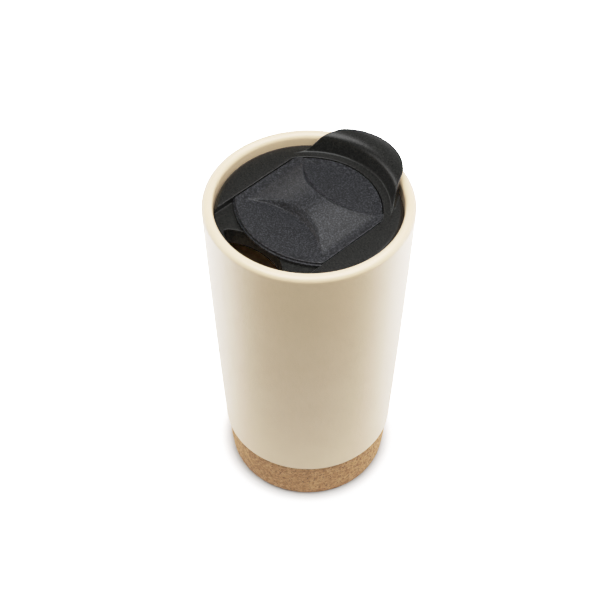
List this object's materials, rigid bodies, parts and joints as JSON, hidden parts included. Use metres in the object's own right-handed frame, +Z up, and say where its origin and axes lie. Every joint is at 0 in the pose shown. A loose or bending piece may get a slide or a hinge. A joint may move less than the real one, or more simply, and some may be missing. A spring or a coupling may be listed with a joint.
{
  "type": "travel tumbler",
  "caption": "Double-wall ceramic travel tumbler with a cork foot and a black press-in lid; a crowned slider opens and closes the drinking port.",
  "frame": {"origin": "centre of the cork's underside, on the table", "axes": "+Z up along the cup's axis, +Y towards the lid's tab with the drinking port at -Y, +X to the right when the port faces the viewer"},
  "size_m": [0.089, 0.0903, 0.1638],
  "materials": {
    "cream_glaze": "satin",
    "clear_silicone": "matte",
    "adhesive": "matte",
    "cork": "matte",
    "black_lid": "fine moulded grain",
    "black_silicone": "matte",
    "black_grain": "sparkling spark-eroded grain"
  },
  "bodies": {
    "cup": {"ceramic_body": "cream_glaze", "vent_plug": "clear_silicone", "base_adhesive": "adhesive", "cork_base": "cork"},
    "lid": {"lid_body": "black_lid", "lid_gasket": "black_silicone"},
    "slider": {"slider_plate": "black_grain", "slider_retainer": "black_lid"}
  },
  "joints": [
    {"name": "lid_lift", "type": "slide", "parent": "cup", "child": "lid", "axis": [0, 0, 1], "range_m": [0, 0.06]},
    {"name": "slider_slide", "type": "slide", "parent": "lid", "child": "slider", "axis": [0, -1, 0], "range_m": [0, 0.01]}
  ]
}
